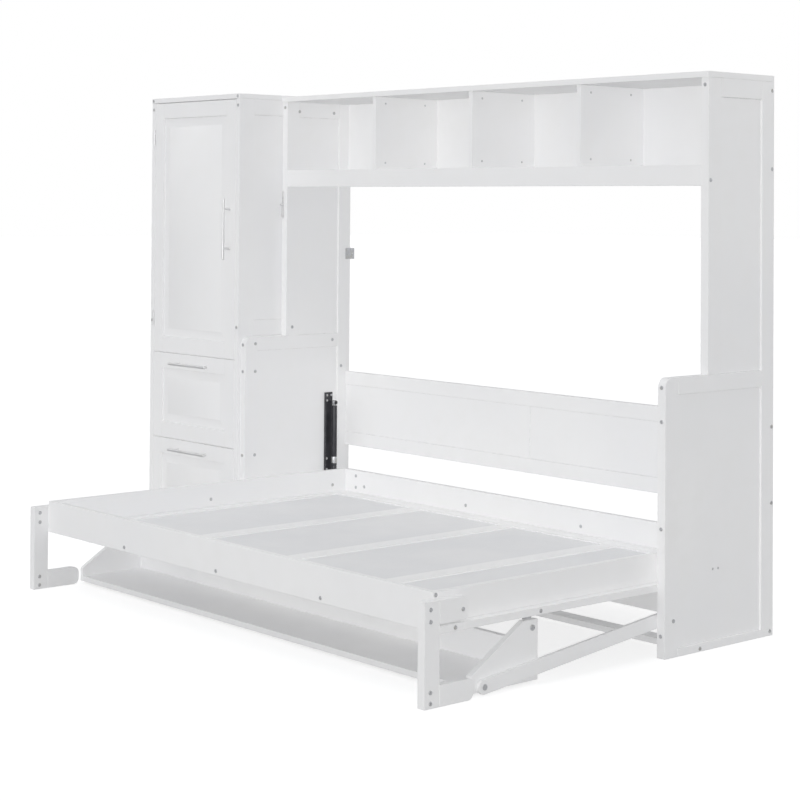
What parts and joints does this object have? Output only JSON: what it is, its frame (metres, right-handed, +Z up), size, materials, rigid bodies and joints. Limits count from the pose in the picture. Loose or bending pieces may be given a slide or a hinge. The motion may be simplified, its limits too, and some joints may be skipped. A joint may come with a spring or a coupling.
{
  "type": "murphy wall bed",
  "caption": "Fold-down wall bed with a levelling desk under it, cubby shelves over it and a tall wardrobe beside it, in white framed panels.",
  "frame": {"origin": "centre of the footprint, on the floor, with the bed lowered and the door and drawers shut", "axes": "+Z up, +X along the wall to the right as seen from the room, +Y towards the wall"},
  "size_m": [2.877, 1.512, 1.857],
  "materials": {
    "white_paint": "satin white paint on board",
    "inner_board": "matt white board",
    "brushed_steel": "brushed",
    "zinc_screws": "zinc plated",
    "black_steel": "black satin",
    "bright_rod": "polished"
  },
  "bodies": {
    "cabinet": {"side_panel_left": "white_paint", "side_panel_right": "white_paint", "shelf_top": "white_paint", "shelf_floor": "white_paint", "shelf_apron": "white_paint", "shelf_back": "white_paint", "shelf_dividers": "white_paint", "back_board_top_rail": "white_paint", "back_board_bottom_rail": "white_paint", "back_board_panels": "white_paint", "floor_stretcher_front": "white_paint", "floor_stretcher_rear": "white_paint", "wall_brackets": "zinc_screws", "pivot_bushes": "zinc_screws", "link_panel_bolts": "zinc_screws", "strut_plates": "black_steel", "latch_mount": "brushed_steel", "case_screws": "zinc_screws", "wardrobe_sides": "white_paint", "wardrobe_top": "white_paint", "wardrobe_back": "inner_board", "wardrobe_base": "inner_board", "wardrobe_partition": "inner_board", "wardrobe_drawer_rail": "white_paint", "wardrobe_plinth": "white_paint", "wardrobe_shelf": "inner_board", "wardrobe_hanging_rail": "brushed_steel", "drawer_runners": "zinc_screws", "door_hinges_fixed": "brushed_steel"},
    "bed": {"bed_face_panel": "white_paint", "bed_front_rail": "white_paint", "bed_back_rail": "white_paint", "bed_side_rails": "white_paint", "leg_posts": "white_paint", "leg_upper_arms": "white_paint", "leg_foot_arms": "white_paint", "bed_pivot_pins": "zinc_screws", "bed_fasteners": "zinc_screws", "desk_hangers": "zinc_screws"},
    "desk": {"desk_board": "white_paint", "desk_back_rail": "white_paint", "desk_cheeks": "white_paint", "link_desk_bolts": "zinc_screws"},
    "link_left": {"link_left": "white_paint"},
    "link_right": {"link_right": "white_paint"},
    "strut_tube_left": {"strut_tube_left": "black_steel"},
    "strut_rod_left": {"strut_rod_left": "bright_rod"},
    "strut_tube_right": {"strut_tube_right": "black_steel"},
    "strut_rod_right": {"strut_rod_right": "bright_rod"},
    "latch_left": {"latch_left": "brushed_steel"},
    "door": {"door_panel": "white_paint", "door_handle": "brushed_steel", "door_hinges_moving": "brushed_steel"},
    "drawer_upper": {"drawer_upper_front": "white_paint", "drawer_upper_box": "inner_board", "drawer_upper_handle": "brushed_steel"},
    "drawer_lower": {"drawer_lower_front": "white_paint", "drawer_lower_box": "inner_board", "drawer_lower_handle": "brushed_steel"}
  },
  "joints": [
    {"name": "bed_lift", "type": "hinge", "parent": "cabinet", "child": "bed", "pos_m": [0, 0.469, 0.253], "axis": [-1, 0, 0], "range_deg": [0, 90]},
    {"name": "desk_level", "type": "hinge", "parent": "bed", "child": "desk", "pos_m": [0, -0.308, 0.165], "axis": [-1, 0, 0], "range_deg": [-90, 0]},
    {"name": "link_left_swing", "type": "hinge", "parent": "cabinet", "child": "link_left", "pos_m": [-0.758, 0.257, 0.115], "axis": [-1, 0, 0], "range_deg": [0, 90]},
    {"name": "strut_left_swing", "type": "hinge", "parent": "cabinet", "child": "strut_tube_left", "pos_m": [-0.7555, 0.665, 0.59], "axis": [-1, 0, 0], "range_deg": [0, 20.24]},
    {"name": "strut_left_slide", "type": "slide", "parent": "strut_tube_left", "child": "strut_rod_left", "axis": [0, 0, -1], "range_m": [0, 0.2314]},
    {"name": "link_right_swing", "type": "hinge", "parent": "cabinet", "child": "link_right", "pos_m": [1.391, 0.257, 0.115], "axis": [-1, 0, 0], "range_deg": [0, 90]},
    {"name": "strut_right_swing", "type": "hinge", "parent": "cabinet", "child": "strut_tube_right", "pos_m": [1.3885, 0.665, 0.59], "axis": [-1, 0, 0], "range_deg": [0, 20.24]},
    {"name": "strut_right_slide", "type": "slide", "parent": "strut_tube_right", "child": "strut_rod_right", "axis": [0, 0, -1], "range_m": [0, 0.2314]},
    {"name": "door_swing", "type": "hinge", "parent": "cabinet", "child": "door", "pos_m": [-1.411, 0.201, 1.3], "axis": [0, 0, -1], "range_deg": [0, 110]},
    {"name": "drawer_upper_slide", "type": "slide", "parent": "cabinet", "child": "drawer_upper", "axis": [0, -1, 0], "range_m": [0, 0.38]},
    {"name": "drawer_lower_slide", "type": "slide", "parent": "cabinet", "child": "drawer_lower", "axis": [0, -1, 0], "range_m": [0, 0.38]},
    {"name": "latch_left_turn", "type": "hinge", "parent": "cabinet", "child": "latch_left", "pos_m": [-0.7975, 0.417, 1.364], "axis": [0, 1, 0], "range_deg": [0, 90]}
  ],
  "couplings": [
    {"joint": "desk_level", "follows": "bed_lift", "ratio": -1},
    {"joint": "link_left_swing", "follows": "bed_lift", "ratio": 1},
    {"joint": "strut_left_swing", "follows": "bed_lift", "ratio": 0.22433},
    {"joint": "strut_left_slide", "follows": "bed_lift", "m_per_rad": 0.14699},
    {"joint": "link_right_swing", "follows": "bed_lift", "ratio": 1},
    {"joint": "strut_right_swing", "follows": "bed_lift", "ratio": 0.22433},
    {"joint": "strut_right_slide", "follows": "bed_lift", "m_per_rad": 0.14699}
  ]
}
